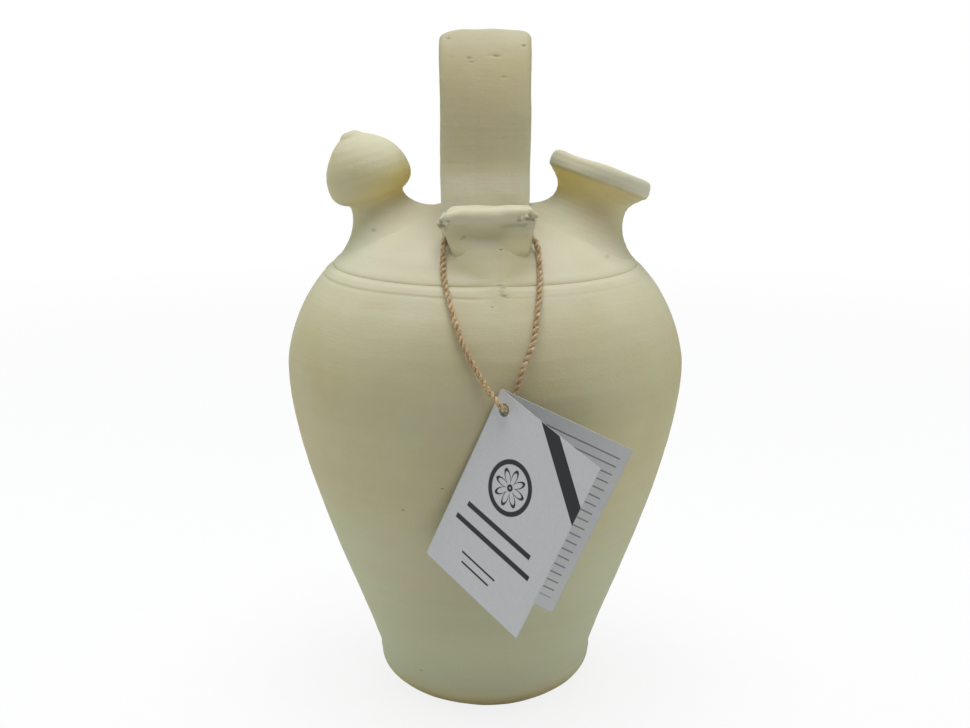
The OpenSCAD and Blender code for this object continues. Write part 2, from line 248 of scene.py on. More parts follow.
# Node materials
class Nodes:
    """Short calls for building a material's nodes."""

    def __init__(self, name):
        self.material = bpy.data.materials.new(name)
        self.material.use_nodes = True
        self.tree = self.material.node_tree
        self.tree.nodes.clear()
        self.out = self.tree.nodes.new("ShaderNodeOutputMaterial")
        self.shader = self.tree.nodes.new("ShaderNodeBsdfPrincipled")
        self.tree.links.new(self.shader.outputs[0], self.out.inputs["Surface"])

    def put(self, node, socket, value):
        if isinstance(value, bpy.types.NodeSocket):
            self.tree.links.new(value, node.inputs[socket])
        else:
            node.inputs[socket].default_value = value

    def place(self):
        return self.tree.nodes.new("ShaderNodeTexCoord").outputs["Object"]

    def scaled(self, vector, scale):
        node = self.tree.nodes.new("ShaderNodeMapping")
        self.put(node, "Vector", vector)
        node.inputs["Scale"].default_value = scale
        return node.outputs[0]

    def noise(self, vector, scale, detail=3.0, rough=0.5, distort=0.0):
        node = self.tree.nodes.new("ShaderNodeTexNoise")
        self.put(node, "Vector", vector)
        self.put(node, "Scale", scale)
        self.put(node, "Detail", detail)
        self.put(node, "Roughness", rough)
        self.put(node, "Distortion", distort)
        return node.outputs["Fac"]

    def cells(self, vector, scale, randomness=1.0):
        node = self.tree.nodes.new("ShaderNodeTexVoronoi")
        self.put(node, "Vector", vector)
        self.put(node, "Scale", scale)
        self.put(node, "Randomness", randomness)
        return node

    def painted(self, name):
        node = self.tree.nodes.new("ShaderNodeAttribute")
        node.attribute_name = name
        return node.outputs["Fac"]

    def span(self, value, low, high, to_low=0.0, to_high=1.0):
        node = self.tree.nodes.new("ShaderNodeMapRange")
        self.put(node, "Value", value)
        ends = {"From Min": low, "From Max": high, "To Min": to_low, "To Max": to_high}
        for socket, number in ends.items():
            self.put(node, socket, number)
        return node.outputs[0]

    def math(self, kind, a, b=0.0, c=0.0):
        node = self.tree.nodes.new("ShaderNodeMath")
        node.operation = kind
        for i, value in enumerate((a, b, c)):
            if isinstance(value, bpy.types.NodeSocket):
                self.tree.links.new(value, node.inputs[i])
            else:
                node.inputs[i].default_value = value
        return node.outputs[0]

    def mix(self, factor, a, b, kind="MIX"):
        node = self.tree.nodes.new("ShaderNodeMix")
        node.data_type = "RGBA"
        node.blend_type = kind
        self.put(node, 0, factor)
        for socket, value in ((6, a), (7, b)):
            if isinstance(value, bpy.types.NodeSocket):
                self.tree.links.new(value, node.inputs[socket])
            else:
                node.inputs[socket].default_value = (*value, 1)
        return node.outputs[2]

    def relief(self, height, strength, distance, under=None):
        node = self.tree.nodes.new("ShaderNodeBump")
        self.put(node, "Height", height)
        self.put(node, "Strength", strength)
        self.put(node, "Distance", distance)
        if under is not None:
            self.put(node, "Normal", under)
        return node.outputs[0]

    def finish(self, color, rough, normal=None, **others):
        self.put(self.shader, "Base Color", color)
        self.put(self.shader, "Roughness", rough)
        if normal is not None:
            self.put(self.shader, "Normal", normal)
        for socket, value in others.items():
            self.put(self.shader, socket.replace("_", " "), value)
        return self.material


def linear(r, g, b):
    """Linear colour of a colour as it looks on the screen."""
    return tuple(c / 12.92 if c <= 0.04045 else ((c + 0.055) / 1.055) ** 2.4 for c in (r, g, b))


def clay_material():
    n = Nodes("clay")
    at = n.place()
    pale, deep = linear(0.785, 0.758, 0.605), linear(0.768, 0.720, 0.555)
    cloud = n.noise(at, 22, 4, 0.55)
    color = n.mix(n.span(cloud, 0.35, 0.65), pale, deep)
    # Painted light: a pale greenish tint on the lower body stands in for light thrown up from the white
    # floor
    color = n.mix(n.painted("cool"), color, linear(0.765, 0.775, 0.655))
    # Painted light: surfaces that face up, the band round the mouth's rim and the lug's lip are painted
    # lighter, as if lit from above
    color = n.mix(n.painted("painted_light"), color, linear(0.810, 0.790, 0.690))
    blush = n.span(n.noise(n.scaled(at, (1, 1, 1.6)), 15, 3, 0.6), 0.50, 0.72, 0, 0.45)
    color = n.mix(blush, color, linear(0.800, 0.745, 0.640))
    green = n.span(n.noise(n.scaled(at, (1.2, 1.2, 1)), 12, 3, 0.6), 0.52, 0.70, 0, 0.40)
    color = n.mix(green, color, linear(0.765, 0.785, 0.660))
    streak = n.noise(n.scaled(at, (6, 6, 260)), 1, 5, 0.6)
    color = n.mix(n.span(streak, 0.30, 0.70, 0.09, 0), color, linear(0.66, 0.62, 0.48))
    speck = n.noise(at, 1400, 2, 0.6)
    color = n.mix(n.span(speck, 0.60, 0.74, 0, 0.22), color, linear(0.62, 0.58, 0.45))
    color = n.mix(n.painted("ochre"), color, linear(0.920, 0.825, 0.490))
    # Painted shade: the handle's upper front, the body below the shoulder, the foot's lowest band and the
    # lug's torn corners are painted darker
    color = n.mix(n.painted("painted_shade"), color, linear(0.600, 0.560, 0.450))
    # Painted shade in the pits
    color = n.mix(n.painted("painted_pit_shade"), color, linear(0.380, 0.360, 0.270))
    lines = n.noise(n.scaled(at, (10, 10, 620)), 1, 3, 0.6)
    fine = n.noise(at, 900, 4, 0.65)
    wiped = n.noise(n.scaled(at, (70, 70, 430)), 1, 4, 0.65)
    pores = n.cells(at, 330).outputs["Distance"]
    # Small sunken dots, with painted shade in them
    dots = n.cells(n.scaled(at, (1, 1, 1.9)), 62)
    chosen = n.span(n.math("FRACT", n.math("MULTIPLY", dots.outputs["Color"], 7.3)), 0.80, 0.82)
    dot = n.math("MULTIPLY", n.span(dots.outputs["Distance"], 0.030, 0.055, 1, 0), chosen)
    color = n.mix(n.math("MULTIPLY", dot, 0.55), color, linear(0.42, 0.40, 0.30))
    normal = n.relief(n.span(lines, 0.3, 0.7), 0.17, 0.00014)
    normal = n.relief(n.span(wiped, 0.3, 0.7), 0.20, 0.00030, normal)
    normal = n.relief(fine, 0.55, 0.00026, normal)
    normal = n.relief(n.span(pores, 0.02, 0.12), 0.25, 0.00012, normal)
    normal = n.relief(n.math("SUBTRACT", 1.0, dot), 0.6, 0.0005, normal)
    rough = n.span(fine, 0.3, 0.7, 0.86, 0.97)
    return n.finish(color, rough, normal, Specular_IOR_Level=0.22)


def jute_material():
    n = Nodes("jute")
    at = n.place()
    fibre = n.noise(n.scaled(at, (1, 1, 1)), 1500, 3, 0.7)
    color = n.mix(n.span(fibre, 0.32, 0.68), linear(0.53, 0.41, 0.27), linear(0.87, 0.76, 0.57))
    pale = n.noise(at, 260, 2, 0.5)
    color = n.mix(n.span(pale, 0.5, 0.75, 0, 0.6), color, linear(0.93, 0.84, 0.70))
    normal = n.relief(fibre, 0.7, 0.0003)
    return n.finish(color, 0.88, normal, Sheen_Weight=0.25, Specular_IOR_Level=0.2)


# What all the clay has
# Pits on the front of the jug: x, z, radius and depth
PITS = [
    # below the lug
    (6.4, 220.2, 0.55, 0.6), (7.9, 219.1, 0.5, 0.6), (7.0, 216.8, 0.4, 0.4), (8.3, 215.5, 0.6, 0.6),
    (9.4, 214.9, 0.4, 0.5),
    # on the lug's face and along its lip
    (-9.3, 239.9, 0.45, 0.6), (-10.4, 238.8, 0.3, 0.4), (15.2, 247.2, 0.5, 0.7),
    (18.8, 247.9, 0.5, 0.8), (21.6, 247.4, 0.5, 0.7), (-18.5, 244.6, 0.5, 0.7),
    (-20.0, 246.2, 0.4, 0.6), (-16.4, 246.9, 0.4, 0.5),
    # on the handle
    (-17.1, 325.9, 0.45, 0.4), (-1.9, 325.4, 0.5, 0.5), (4.6, 318.1, 0.45, 0.5), (6.2, 318.0, 0.4, 0.4),
    (-7.3, 317.2, 0.45, 0.5), (-6.4, 315.4, 0.4, 0.4), (8.6, 308.9, 0.4, 0.4), (18.0, 322.4, 0.45, 0.5),
    # on the dome
    (-52.9, 236.6, 0.5, 0.5), (57.0, 226.3, 0.5, 0.4)]


def pitted(p):
    """How deep the pits are at each point, in millimetres."""
    out = np.zeros(len(p))
    for x, z, r, depth in PITS:
        near = np.exp(-((p[:, 0] - x) / (2 * r)) ** 2 - ((p[:, 2] - z) / r) ** 2) * (p[:, 1] < 6)
        out = np.maximum(out, depth * near)
    return out


def clay_wear(p):
    """Small unevenness that every clay piece has, in millimetres."""
    return 0.16 * grain(p, 21, 1) + 0.07 * grain(p, 7, 2) + 0.03 * grain(p, 2.6, 3) - pitted(p)


def throwing(p):
    """Low rings that the potter's fingers leave, climbing slowly round the vessel."""
    turn = np.arctan2(p[:, 1], p[:, 0]) / (2 * np.pi)
    z = p[:, 2] + 0.35 * grain(p, 30, 4)
    wave = np.sin(2 * np.pi * (z / 8.2 - turn))
    fine = np.sin(2 * np.pi * (z / 2.3 + turn + 0.4 * grain(p, 16, 5)))
    patch = 0.5 + 0.5 * grain(p, 38, 6)
    return 0.040 * wave * patch + 0.012 * fine * (1 - 0.6 * patch)


# Tongue that is smeared down onto the jug: height, thickness, half width and how far its middle
# lies to the right
TONGUE = [[206, 0, 4, 5.6], [212, 0.35, 4.5, 5.6], [216, 0.7, 5.2, 5.6], [219, 1.0, 6.2, 5.4],
          [221.5, 1.6, 8.5, 5.0], [223.4, 2.5, 11.5, 4.2], [226.6, 4.5, 15.5, 3.2],
          [231.2, 8.3, 17.4, 2.8], [236, 10, 18, 2.4]]


def smear(across, z):
    """Thickness of the tongue, and how much of it is left at a place across it."""
    table = np.array(TONGUE, float)
    thick, half, middle = (np.interp(z, table[:, 0], table[:, k]) for k in (1, 2, 3))
    power = np.interp(z, [210, 222, 227, 232], [2.2, 2.8, 5.0, 8.0])
    return thick, 1 / (1 + np.abs((across - middle) / half) ** power)


def smear_on(obj):
    """The jug's own surface rises into the tongue, so that no edge shows between them."""
    p = points_of(obj)
    z, r = p[:, 2], np.hypot(p[:, 0], p[:, 1])
    across = np.arctan2(p[:, 0], -p[:, 1]) * r
    thick, full = smear(across, z)
    out = p - [0, 0, DOME_Z]
    far = np.linalg.norm(out, axis=1)
    skin = (p[:, 1] < 0) * (np.abs(across - 4) < 45) * (far > DOME_R - 2.5)
    uneven = 1 + 0.20 * grain(p, 4.5, 24) * (1 - smoothstep(218, 224, z))
    rise = skin * thick * full * (1 - smoothstep(229, 233, z)) * uneven
    move_points(obj, p + out / far[:, None] * rise[:, None])


def line_left(a):
    """How much of the line is left at an angle from the front: it all but goes out under the lug."""
    return 1 - 0.96 * bump(a, 0.077, 0.095)


def score(obj):
    """The line cut round the jug where body and dome meet."""
    p = points_of(obj)
    r = np.hypot(p[:, 0], p[:, 1])
    a = np.arctan2(p[:, 0], -p[:, 1])
    deep = 0.50 * bump(p[:, 2], SEAM_Z - 0.2, 0.85) * line_left(a) * (1 + 0.25 * grain(p, 14, 11))
    deep *= r > SEAM_R - 3
    p[:, :2] *= (1 - deep / np.maximum(r, 1))[:, None]
    move_points(obj, p)


# Vessel
def outer_line():
    """Outline of the body from the base to the line where the dome begins."""
    foot = rows([[BASE_R, 0], [BASE_R + 1, 0], [FOOT_R, FOOT_H / 3], [FOOT_R, FOOT_H - 1]], 60)
    lean = math.radians(16.8)
    way = np.array([math.sin(lean), math.cos(lean)])
    turn = np.array([FOOT_R + 4.4, FOOT_H + 16])
    hollow = rows([[FOOT_R, FOOT_H], [FOOT_R, FOOT_H + 6], turn - 6.4 * way, turn], 40)
    wall = rows([turn, turn + 14.2 * way, [BELLY_R, BELLY_Z - 43.7], [BELLY_R, BELLY_Z]], 160)
    c, s = math.cos(math.radians(DOME_SLOPE)), math.sin(math.radians(DOME_SLOPE))
    shoulder = rows([[BELLY_R, BELLY_Z], [BELLY_R, BELLY_Z + 8],
                     [SEAM_R + 25 * c, SEAM_Z - 25 * s], [SEAM_R, SEAM_Z]], 90)
    return np.vstack([foot, hollow[1:], wall[1:], shoulder[1:]])


def make_body(material):
    """Thrown body: outside, then down the inner wall to the floor, which is 6 mm thick."""
    outside = outer_line()
    high = outside[:, 1] > 207
    low_part = spaced(outside[~high], 1.0)
    high_part = spaced(np.vstack([low_part[-1:], outside[high]]), 0.28)[1:]
    inner_seam = math.sqrt((DOME_R - WALL) ** 2 - (SEAM_Z - DOME_Z) ** 2)
    way = np.gradient(outside, axis=0)
    way /= np.linalg.norm(way, axis=1)[:, None]
    offset = outside - WALL * np.stack([way[:, 1], -way[:, 0]], axis=1)
    inside = np.vstack([[inner_seam, SEAM_Z], spaced(offset[offset[:, 1] > 170][::-1], 5)])
    inner_r = BELLY_R - WALL
    inside = np.vstack([inside, rows([[inner_r, 168], [inner_r, 126], [62, 60], [52, 32]], 24),
                        rows([[52, 32], [48, 18], [46, 6], [30, 6]], 12)[1:]])
    floor = np.array([[24, 6.0], [8, 6.0]])
    bottom = np.array([[6, 0.9], [18, 0.7], [28, 0.35], [33, 0.05]])
    line = np.vstack([bottom, low_part, high_part, inside, floor])
    points, faces = skinned(revolved(line, 400))
    body = mesh_piece("body_skin", points, faces, material, "clay")

    def amount(p):
        z, r = p[:, 2], np.hypot(p[:, 0], p[:, 1])
        out = np.where(r > np.interp(z, outside[:, 1], outside[:, 0]) - 2.5, 1.0, 0.0)
        a = np.arctan2(p[:, 0], -p[:, 1])
        line_fade = line_left(a)
        wander = 0.35 * grain(p, 40, 8)
        ledge = 0.17 * smoothstep(214.4, 215.4, z + wander) * (1 - smoothstep(217.6, 218.6, z))
        ledge *= line_fade
        ledge += -0.12 * bump(z + wander, 214.4, 0.7) * line_fade
        side = smoothstep(-1.35, -0.75, a) * (1 - smoothstep(-0.5, 0.1, a))
        ring = 0.28 * bump(z, 66.5 + 1.5 * np.sin(a + 0.6), 0.9) * side
        edge = 0.35 * bump(z, FOOT_H + 1.2 + 0.8 * grain(p, 26, 9), 1.3)
        foot = 0.25 * grain(p, 12, 10) * (1 - smoothstep(16, 26, z))
        calm = 1 - smoothstep(206, 214, z) * 0.7
        seam = 1 - smoothstep(216.8, 218.9, z)
        ledge *= 1 - 0.6 * smoothstep(-0.1, 0.3, a)
        return out * ((clay_wear(p) + throwing(p) * calm) * seam + ledge * seam + ring + edge + foot)

    push(body, amount)
    score(body)
    smear_on(body)
    p = points_of(body)
    p[:, 2] = np.maximum(p[:, 2], 0)
    move_points(body, p)
    return body


def make_dome(material):
    slope = math.radians(DOME_SLOPE)
    a = np.concatenate([np.linspace(slope, slope - 0.045, 14), np.linspace(slope - 0.05, 0.02, 84)])
    outside = np.stack([DOME_R * np.sin(a), DOME_Z + DOME_R * np.cos(a)], axis=1)
    inner = DOME_R - WALL
    b = np.linspace(0.02, math.acos((SEAM_Z - DOME_Z) / inner), 30)
    inside = np.stack([inner * np.sin(b), DOME_Z + inner * np.cos(b)], axis=1)
    rings = revolved(np.vstack([outside, inside]), 400)
    points = rings.reshape(-1, 3)
    count, n = rings.shape[:2]
    top = len(outside)
    points = np.vstack([points, [0, 0, CROWN_Z], [0, 0, DOME_Z + inner]])
    faces = []
    for i in range(count):
        if i == top - 1:
            continue
        p, q = i * n, ((i + 1) % count) * n
        faces += [(p + k, p + (k + 1) % n, q + (k + 1) % n, q + k) for k in range(n)]
    p = (top - 1) * n
    faces += [(p + k, p + (k + 1) % n, count * n) for k in range(n)]
    faces += [(top * n + (k + 1) % n, top * n + k, count * n + 1) for k in range(n)]
    dome = mesh_piece("dome_skin", points, faces, material, "clay")

    def amount(p):
        z, r = p[:, 2], np.hypot(p[:, 0], p[:, 1])
        over = np.linalg.norm(p - [0, 0, DOME_Z], axis=1) > DOME_R - 2
        a = np.arctan2(p[:, 0], -p[:, 1])
        line_fade = line_left(a)
        seam = smoothstep(SEAM_Z, SEAM_Z + 2.2, z)
        swell = 0.10 * bump(z, SEAM_Z + 2.2, 1.2)
        return over * (seam * (0.8 * clay_wear(p) + 0.6 * throwing(p)) + swell * line_fade)

    push(dome, amount)
    score(dome)
    smear_on(dome)
    for lean, back, at, r in ((MOUTH_LEAN, MOUTH_BACK, MOUTH, THROAT_R),
                              (SPOUT_LEAN, 0, SPOUT, SPOUT_BORE_R)):
        ring = np.array([[r, z] for z in (-50, -40, -30, -20, -5)], float)
        points, faces = skinned(revolved(ring, 72))
        bore = mesh_piece("bore", turned(points, lean, back) + at, faces, material, "clay")
        cut(dome, bore)
    return dome


def cut(obj, tool):
    """The tool's shape comes out of obj, and the tool goes."""
    change = obj.modifiers.new("cut", "BOOLEAN")
    change.operation, change.object, change.solver = "DIFFERENCE", tool, "EXACT"
    settled(obj)
    bpy.data.objects.remove(tool)


# Mouth and spout
def ball_top(ball, x, y, r):
    """Height of the dome's sphere over a place in a neck's own axes."""
    return ball[2] + np.sqrt(r ** 2 - (x - ball[0]) ** 2 - (y - ball[1]) ** 2)


def skirt_rings(ball, neck_r, neck_z, foot, n, steps):
    """Rings of a neck that flares out onto the dome, from the neck down to the dome."""
    a = np.linspace(0, 2 * np.pi, n, endpoint=False)
    cx, cy = np.cos(a), np.sin(a)
    near = foot - 9
    end_z = ball_top(ball, foot * cx, foot * cy, DOME_R) - 0.15
    near_z = ball_top(ball, near * cx, near * cy, DOME_R) + 2.2
    out = []
    for t in np.linspace(0, 1, steps):
        r = ((1 - t) ** 3 * neck_r + 3 * t * (1 - t) ** 2 * neck_r
             + 3 * t * t * (1 - t) * near + t ** 3 * foot)
        z = ((1 - t) ** 3 * neck_z + 3 * t * (1 - t) ** 2 * (neck_z + near_z) / 2
             + 3 * t * t * (1 - t) * near_z + t ** 3 * end_z)
        out.append(np.stack([r * cx, r * cy, z], axis=1))
    under = ball_top(ball, (foot + 0.6) * cx, (foot + 0.6) * cy, DOME_R) - 1.6
    out.append(np.stack([(foot + 0.6) * cx, (foot + 0.6) * cy, under], axis=1))
    return out


def buried_ring(ball, r, n, depth):
    """Ring of a bore just below the dome's surface, where a neck is closed against it."""
    a = np.linspace(0, 2 * np.pi, n, endpoint=False)
    x, y = r * np.cos(a), r * np.sin(a)
    return np.stack([x, y, ball_top(ball, x, y, DOME_R) - depth], axis=1)


def make_mouth(material):
    n = 220
    ball = unturned(np.array([0, 0, DOME_Z]) - MOUTH, MOUTH_LEAN, MOUTH_BACK)
    neck_r, neck_z = 17.6, -15.0
    throat = spaced([[THROAT_R, -23], [THROAT_R, -11]], 1.5)
    funnel = rows([[THROAT_R, -11], [THROAT_R, -5], [16.5, 1.6], [19.4, 2.7]], 16)
    lip = rows([[19.4, 2.7], [21.4, 3.3], [23.6, 3.3], [24.5, 1.9]], 12)
    band = rows([[24.5, 1.9], [25.3, 0.6], [25.6, -3.0], [25.0, -4.3]], 14)
    edge = rows([[25.0, -4.3], [24.7, -4.9], [24.4, -5.1], [23.9, -5.3]], 8)
    under = rows([[23.9, -5.3], [20.8, -8.4], [neck_r, neck_z + 4.6], [neck_r, neck_z]], 26)
    line = np.vstack([throat, funnel[1:], lip[1:], band[1:], edge[1:], under[1:]])
    rings = list(revolved(line, n)) + skirt_rings(ball, neck_r, neck_z, 30, n, 26)[1:]
    points, faces = skinned([buried_ring(ball, THROAT_R, n, 1.6)] + rings, wrap=True)
    points = turned(points, MOUTH_LEAN, MOUTH_BACK) + MOUTH
    mouth = mesh_piece("mouth_skin", points, faces, material, "clay")

    def amount(p):
        q = unturned(p - MOUTH, MOUTH_LEAN, MOUTH_BACK)
        r = np.hypot(q[:, 0], q[:, 1])
        a = np.arctan2(q[:, 0], -q[:, 1])
        rim = bump(q[:, 2], 0, 4.5) * (r > 18)
        wave = 0.30 * np.sin(3 * a + 0.8) + 0.25 * np.sin(5 * a + 2.0)
        nick = -1.1 * bump(a, 0.25, 0.13) * bump(q[:, 2], -4.6, 1.0) * (r > 20)
        low = smoothstep(0.0, 1.5, np.linalg.norm(p - [0, 0, DOME_Z], axis=1) - DOME_R)
        return low * (clay_wear(p) + rim * wave + nick + 0.05 * np.sin(q[:, 2] * 2.4 + a))

    push(mouth, amount)
    return mouth


def bulb_under(z):
    """Radius of the bulb's rounded underside at a height."""
    t = np.clip((-3 - z) / 11.5, 0, 1)
    return 20.7 * (1 - t ** 2.5) ** 0.4


def make_spout(material):
    n = 220
    ball = unturned(np.array([0, 0, DOME_Z]) - SPOUT, SPOUT_LEAN)
    neck_r, neck_z = 13.3, -12.6
    bore = spaced([[SPOUT_BORE_R, -24], [SPOUT_BORE_R, -11.5]], 1.5)
    cave = rows([[SPOUT_BORE_R, -11.5], [12.6, -10], [13.0, 2], [8.0, 8]], 14)
    pipe = rows([[8.0, 8], [4.0, 12], [1.5, 14], [1.5, 20.2]], 12)
    nipple = rows([[1.5, 20.2], [1.6, 21.4], [3.4, 21.3], [6.0, 18.3]], 12)
    upper = rows([[6.0, 18.3], [14.5, 14.0], [20.7, 5.5], [20.7, -3]], 30)
    z = -3 - 11.5 * np.sin(np.linspace(0, 1, 15) * math.asin(9.6 / 11.5))
    lower = np.stack([bulb_under(z), z], axis=1)
    line = np.vstack([bore, cave[1:], pipe[1:], nipple[1:], upper[1:], lower[1:]])
    skirt = skirt_rings(ball, neck_r, neck_z - 1.2, 27, n, 26)
    rings = [buried_ring(ball, SPOUT_BORE_R, n, 1.6)] + list(revolved(line, n)) + skirt
    points, faces = skinned(rings, wrap=True)
    tilt = smoothstep(10, 22, points[:, 2])
    points[:, 0] -= 1.6 * tilt
    spout = mesh_piece("spout_skin", turned(points, SPOUT_LEAN) + SPOUT, faces, material, "clay")

    def amount(p):
        q = unturned(p - SPOUT, SPOUT_LEAN)
        a = np.arctan2(q[:, 0], -q[:, 1])
        low = smoothstep(0.0, 1.5, np.linalg.norm(p - [0, 0, DOME_Z], axis=1) - DOME_R)
        outside = np.hypot(q[:, 0], q[:, 1]) > 9
        rings = 0.035 * np.sin(q[:, 2] * 1.55 + a + 0.7 * grain(p, 12, 12)) * smoothstep(-14, -8, q[:, 2])
        lump = 0.35 * np.sin(2 * a + 0.5) * bump(q[:, 2], -2, 8)
        return low * outside * (clay_wear(p) * 1.3 + rings + lump)

    push(spout, amount)
    return spout


# Strap handle
def rounded(c, power):
    """Cosine or sine bent so that a circle becomes a rounded box."""
    return np.sign(c) * np.abs(c) ** (2 / power)


def strap_rings(n, steps):
    """Rings of the strap from its front foot up to the crown."""
    arch = [[-40, 232], [-48, 280], [-30, 323.5], [0, 323.5]]
    a = np.linspace(0, 2 * np.pi, n, endpoint=False)
    out = []
    for t in np.linspace(0, 1, steps):
        at = bezier(arch, t)
        e = 1e-3
        way = bezier(arch, min(t + e, 1)) - bezier(arch, max(t - e, 0))
        across = np.array([-way[1], way[0]]) / np.linalg.norm(way)
        half_w = (40 + 3.6 * t) / 2
        half_t = (15 - 2 * t) / 2
        side, deep = half_w * rounded(np.cos(a), 3.6), half_t * rounded(np.sin(a), 3.6)
        out.append(np.stack([side, at[0] + across[0] * deep, at[1] + across[1] * deep], axis=1))
    return out


def make_handle(material):
    front = strap_rings(180, 200)
    back = [r * [1, -1, 1] for r in front[-2::-1]]
    points, faces = skinned(front + back)
    handle = mesh_piece("handle_skin", points, faces, material, "clay")

    def amount(p):
        x, y, z = p.T
        lengthwise = 0.30 * np.sin(x * 0.42 + 0.9 * grain(p * [1, 0.12, 0.12], 9, 14))
        lengthwise += 0.12 * grain(p * [1, 0.10, 0.10], 3.2, 15)
        flare = 2.2 * (1 - smoothstep(236, 247, z)) * (y > 0)
        return clay_wear(p) * 1.6 + 0.5 * grain(p, 34, 16) + lengthwise * 0.5 + flare

    push(handle, amount)
    p = points_of(handle)
    p[:, 1] -= 5.6 * (1 - smoothstep(247, 273, p[:, 2])) * (1 - smoothstep(-50, -44, p[:, 1]))
    move_points(handle, p)
    return handle


# Front lug
# Level slices of the bracket: height, left edge, right edge, front
BRACKET = [[224, -8, 12, -60], [228, -13, 18, -63], [232, -15.2, 19.9, -66],
           [236, -16.3, 20.6, -65], [239, -18.2, 21.6, -63.7], [242, -20.4, 22.3, -63.3],
           [245, -21.3, 22.6, -63.3], [247.5, -19.8, 22.4, -62.8], [250.2, -17.0, 21.8, -60.6],
           [252, -15, 20, -57.5], [253, -12, 17, -53.5]]
# Rolled lip: its middle line from left to right, and its radius
LIP = [[-19.6, -57.0, 243.9, 1.6], [-18.8, -60.0, 245.0, 2.0], [-16, -61.4, 247.6, 2.6],
       [-10.2, -62.6, 249.0, 3.3], [-3.1, -63.2, 248.8, 4.0], [4, -63.2, 248.8, 4.1],
       [10.2, -62.6, 249.7, 3.1], [16, -61.8, 250.2, 2.2], [19.8, -60.2, 250.0, 1.8],
       [21.0, -57.5, 249.4, 1.4]]
# Torn crumbs at the two corners of the lip: place and radius
CRUMBS = [[-20.8, -59.5, 245.2, 1.20], [-19.6, -61.6, 247.2, 0.96], [-18.8, -62.8, 243.6, 0.88],
          [-17.0, -63.6, 245.6, 0.72], [22.6, -59.2, 249.0, 1.12], [21.4, -61.6, 247.6, 0.96],
          [18.4, -63.4, 248.4, 1.04], [16.2, -64.2, 247.6, 0.72], [22.4, -60.8, 245.6, 0.72]]
# Hole for the twine: its axis, and its radius along it, wider at both ends
TUNNEL_Y, TUNNEL_Z = -54.0, 239.3
TUNNEL = [[7.2, -40], [7.2, -17.6], [3, -12], [3, 0], [3, 17], [7.2, 22.2], [7.2, 44]]


def settled(obj):
    """The object's modifiers are worked out and its mesh replaced by the outcome."""
    bpy.context.view_layer.update()
    done = bpy.data.meshes.new_from_object(obj.evaluated_get(bpy.context.evaluated_depsgraph_get()))
    obj.modifiers.clear()
    obj.data = done
    face_out(done)
    done.polygons.foreach_set("use_smooth", [True] * len(done.polygons))


def remeshed(obj, voxel, soft_below):
    """One even skin round all the closed shapes in obj, well smoothed below a height."""
    change = obj.modifiers.new("skin", "REMESH")
    change.mode, change.voxel_size = "VOXEL", voxel * MM
    settled(obj)
    low = obj.vertex_groups.new(name="low")
    z = points_of(obj)[:, 2]
    for i in np.nonzero(z < soft_below)[0]:
        low.add([int(i)], float(min(1, (soft_below - z[i]) / 5)), "REPLACE")
    for rounds, group in ((4, ""), (24, "low")):
        soften = obj.modifiers.new("soften", "SMOOTH")
        soften.factor, soften.iterations, soften.vertex_group = 0.5, rounds, group
    settled(obj)
    obj.vertex_groups.clear()


def gathered(parts):
    """Points and faces of several shapes in one."""
    points, faces, base = [], [], 0
    for more, quads in parts:
        points.append(more)
        faces += [tuple(v + base for v in f) for f in quads]
        base += len(more)
    return np.vstack(points), faces


def bracket():
    """The lug's block from the level slices, with rounded corners."""
    n = 120
    a = np.linspace(0, 2 * np.pi, n, endpoint=False)
    back, rings = -44.0, []
    for z, left, right, front in smooth_line(BRACKET, 0.8):
        x = (left + right) / 2 + (right - left) / 2 * rounded(np.cos(a), 5)
        y = (back + front) / 2 - (back - front) / 2 * rounded(np.sin(a), 5)
        rings.append(np.stack([x, y, np.full(n, z)], axis=1))
    return skinned(rings)


def roll(line, n=24):
    """Round bar along a line of places and radii."""
    line = smooth_line(line, 0.8)
    way, side, other = carried_frames(line[:, :3])
    a = np.linspace(0, 2 * np.pi, n, endpoint=False)
    return skinned([p[:3] + p[3] * (s * np.cos(a)[:, None] + o * np.sin(a)[:, None])
                    for p, s, o in zip(line, side, other)])


def tongue():
    """Clay smeared down from the lug onto the dome, along the dome's own outline."""
    outline = outer_line()
    low = outline[outline[:, 1] > 190]
    slope = np.linspace(math.radians(DOME_SLOPE), math.radians(22), 60)
    high = np.stack([DOME_R * np.sin(slope), DOME_Z + DOME_R * np.cos(slope)], axis=1)
    line = spaced(np.vstack([low, high[1:]]), 0.8)
    line = line[(line[:, 1] > 221) & (line[:, 1] < 238)]
    across = np.linspace(-26, 30, 90)
    way = np.gradient(line, axis=0)
    way /= np.linalg.norm(way, axis=1)[:, None]
    out = np.stack([way[:, 1], -way[:, 0]], axis=1)
    rings = []
    for (r, z), (nr, nz) in zip(line, out):
        thick, full = smear(across, z)
        h = thick * full - 0.9 * (1 - full) - 0.5 * (1 - smoothstep(225, 229, z))
        a = across / r
        top = np.stack([(r + nr * h) * np.sin(a), -(r + nr * h) * np.cos(a), z + nz * h], axis=1)
        low_r, low_z = r - 3 * nr, np.full(len(a), z - 3 * nz)
        deep = np.stack([low_r * np.sin(a), -low_r * np.cos(a), low_z], axis=1)
        rings.append(np.vstack([top, deep[::-1]]))
    return skinned(rings)


